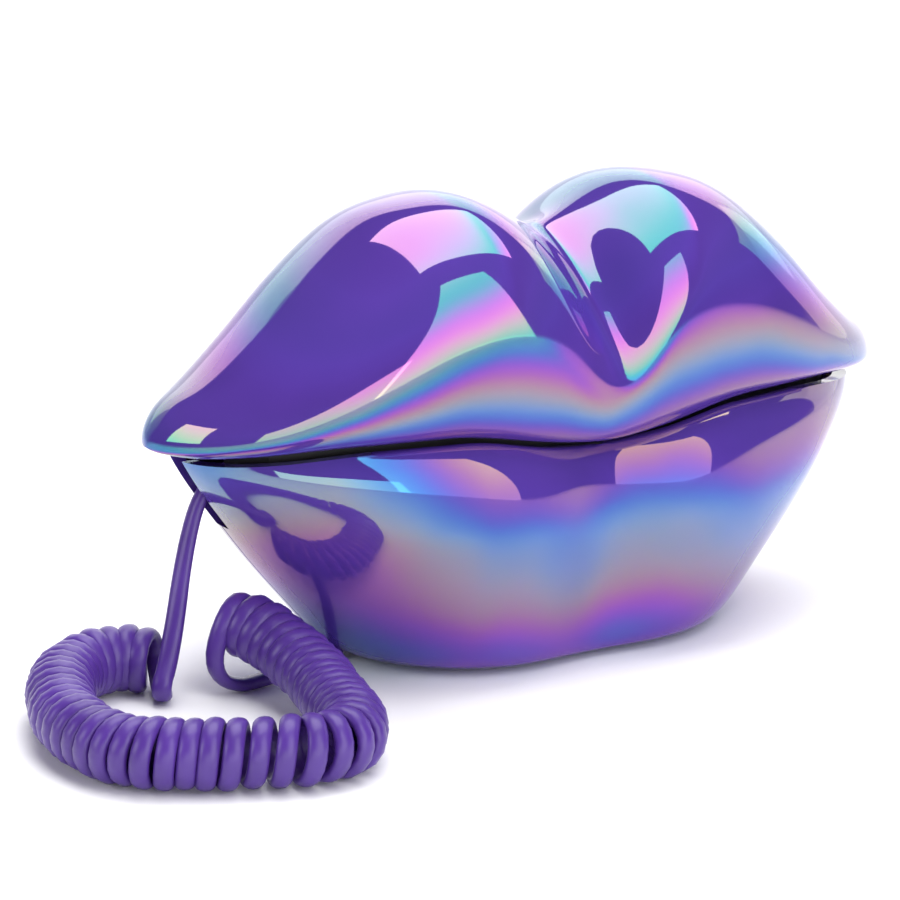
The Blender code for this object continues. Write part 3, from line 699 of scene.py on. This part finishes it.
def keys(paint, ink):
    """The keypad's caps with their numbers, which read from below."""
    marks = {"key_star": "*", "key_hash": "#"}
    for node in frame["nodes"]:
        if not node.startswith("key_"):
            continue
        low, high = node_box(node)
        inset = Vector((KEY_EDGE, KEY_EDGE, 0))
        cap = key_cap(node + "_cap", low + inset, (high.x - KEY_EDGE, high.y - KEY_EDGE, high.z), paint,
                      node)
        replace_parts(cap, node)
        tail = node.split("_")[1]
        mark = tail if tail.isdigit() else marks.get(node)
        if mark:
            glyph = bpy.data.curves.new(node + "_mark", "FONT")
            glyph.body = mark
            glyph.size = KEY_MARK * MM
            glyph.extrude = 0.05 * MM
            glyph.align_x = "CENTER"
            glyph.align_y = "CENTER"
            glyph.materials.append(ink)
            made = bpy.data.objects.new(node + "_mark", glyph)
            bpy.context.collection.objects.link(made)
            made.location = place((low.x + high.x) / 2, (low.y + high.y) / 2, low.z + 0.28)
            made.rotation_euler = (math.pi, 0, math.pi / 2)
            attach(made, node)


def finish_nodes(paints):
    """Gives every carried-over CAD node the material of its slot."""
    slots = {part["node"]: part["material_slot"] for part in frame["record"]["subparts"]}
    for node, item in frame["nodes"].items():
        item.data.materials.clear()
        item.data.materials.append(paints[slots[node]])


# Stage

def camera():
    """Looks from the left front, a little above the table."""
    turn, rise = math.radians(VIEW_TURN), math.radians(VIEW_RISE)
    back = Vector((math.sin(turn) * math.cos(rise), -math.cos(turn) * math.cos(rise), math.sin(rise)))
    right = Vector((math.cos(turn), math.sin(turn), 0))
    up = back.cross(right)
    data = bpy.data.cameras.new("camera")
    data.lens = LENS
    data.sensor_width = 36
    data.shift_x, data.shift_y = SHIFT
    data.clip_end = 50
    made = bpy.data.objects.new("camera", data)
    bpy.context.collection.objects.link(made)
    made.matrix_world = Matrix.Translation((Vector(VIEW_TARGET) + back * VIEW_DISTANCE) * MM) @ \
        Matrix((right, up, back)).transposed().to_4x4()
    bpy.context.scene.camera = made


def stage_paint():
    """Matt white card with a barely visible mottle."""
    paint = Paint("stage_white")
    paint.set(Roughness=0.9)
    paint.shader.inputs["Specular IOR Level"].default_value = 0.1
    tone = paint.noise(3.0, 2.0)
    paint.link(paint.ramp(tone, ((0.3, (0.93, 0.93, 0.935)), (0.7, (0.95, 0.95, 0.955)))),
               paint.shader.inputs["Base Color"])
    return paint.material


def stage():
    """A white table that sweeps up behind the telephone."""
    turn = math.radians(VIEW_TURN)
    away = Vector((-math.sin(turn), math.cos(turn), 0))
    side = Vector((math.cos(turn), math.sin(turn), 0))
    work = bmesh.new()
    profile = [(STAGE_NEAR, 0), (STAGE_FAR, 0)]
    for i in range(1, 17):
        bend = math.pi / 2 * i / 16
        profile.append((STAGE_FAR + STAGE_BEND * math.sin(bend), STAGE_BEND * (1 - math.cos(bend))))
    profile.append((STAGE_FAR + STAGE_BEND, STAGE_TOP))
    rows = [[work.verts.new((away * out + side * across + Vector((0, 0, rise))) * MM)
             for out, rise in profile] for across in (-STAGE_SIDE, STAGE_SIDE)]
    for i in range(len(profile) - 1):
        work.faces.new((rows[0][i], rows[0][i + 1], rows[1][i + 1], rows[1][i]))
    mesh = bpy.data.meshes.new("stage")
    bmesh.ops.recalc_face_normals(work, faces=work.faces)
    work.to_mesh(mesh)
    work.free()
    mesh.shade_smooth()
    mesh.materials.append(stage_paint())
    made = bpy.data.objects.new("stage", mesh)
    bpy.context.collection.objects.link(made)


def panel(name, turn, distance, height, size, radiance, aim=None, level=False, seen=True):
    """A soft panel at a heading from the telephone; radiance is how bright its face looks.

    It faces the point aim, or straight across if there is none, or straight down if level.
    seen says whether it shows as a reflection.
    """
    turn = math.radians(turn)
    spot = Vector((math.sin(turn) * distance, CENTRE_Y - math.cos(turn) * distance, height))
    aim = Vector(aim or (0, CENTRE_Y, height))
    data = bpy.data.lights.new(name, "AREA")
    data.shape = "RECTANGLE"
    data.size, data.size_y = size[0] * MM, size[1] * MM
    data.energy = radiance * 4 * data.size * data.size_y
    made = bpy.data.objects.new(name, data)
    bpy.context.collection.objects.link(made)
    made.location = spot * MM
    if not level:
        made.rotation_euler = (aim - spot).to_track_quat("-Z", "Y").to_euler()
    made.visible_glossy = seen


def room():
    """A dim room that lights and mirrors as dark, and shows as white past the stage's edges."""
    world = bpy.data.worlds.new("studio")
    bpy.context.scene.world = world
    world.use_nodes = True
    nodes, links = world.node_tree.nodes, world.node_tree.links
    dim = nodes["Background"]
    dim.inputs["Color"].default_value = (0.05, 0.045, 0.06, 1)
    dim.inputs["Strength"].default_value = 1.0
    white = nodes.new("ShaderNodeBackground")
    white.inputs["Color"].default_value = (1, 1, 1, 1)
    ray = nodes.new("ShaderNodeLightPath")
    choice = nodes.new("ShaderNodeMixShader")
    links.new(ray.outputs["Is Camera Ray"], choice.inputs[0])
    links.new(dim.outputs["Background"], choice.inputs[1])
    links.new(white.outputs["Background"], choice.inputs[2])
    links.new(choice.outputs["Shader"], nodes["World Output"].inputs["Surface"])


def lights():
    """Soft white panels round the telephone, whose reflections draw its shape."""
    panel("overhead", 145, 365, 1060, (1040, 1040), 2.85, level=True)
    panel("front", 4, 1205, 1050, (900, 2300), 2.4)
    panel("front_low", -35, 1500, 190, (1100, 480), 2.1, aim=(-200, 0, 190))
    panel("left", -99, 900, 410, (460, 540), 2.8)
    panel("back", 148, 1380, 600, (3000, 1080), 0.63)
    panel("wing_right", 100, 1500, 480, (900, 1020), 0.7)
    panel("fill", 20, 500, 2200, (1800, 1800), 2.1, aim=(0, 0, 0), seen=False)
    bpy.context.scene.view_settings.view_transform = "Standard"


def build():
    """Camera and cord first, then the materials, the lips, the keys and the studio."""
    camera()
    paints = {
        "pearl_violet": pearl_paint("pearl_violet"),
        "black_plastic": plastic_paint("black_plastic", (0.012, 0.011, 0.014), 0.42),
        "key_plastic": plastic_paint("key_plastic", (0.78, 0.76, 0.84), 0.3, spread=0.05),
        "grey_plastic": plastic_paint("grey_plastic", (0.55, 0.53, 0.6), 0.38, spread=0.08),
        "dark_rubber": plastic_paint("dark_rubber", (0.03, 0.03, 0.032), 0.75, grain=700.0, depth=0.0002),
        "board_green": board_paint("board_green"),
        "plain_steel": metal_paint("plain_steel", (0.58, 0.58, 0.6)),
        "spring_wire": metal_paint("spring_wire", (0.7, 0.7, 0.72), 0.22),
        "cord_violet": cord_paint("cord_violet"),
        "clear_plastic": clear_paint("clear_plastic"),
    }
    handset_cord(paints["cord_violet"])
    finish_nodes(paints)
    lips(paints["pearl_violet"])
    keys(paints["key_plastic"], paints["black_plastic"])
    stage()
    room()
    lights()


build()
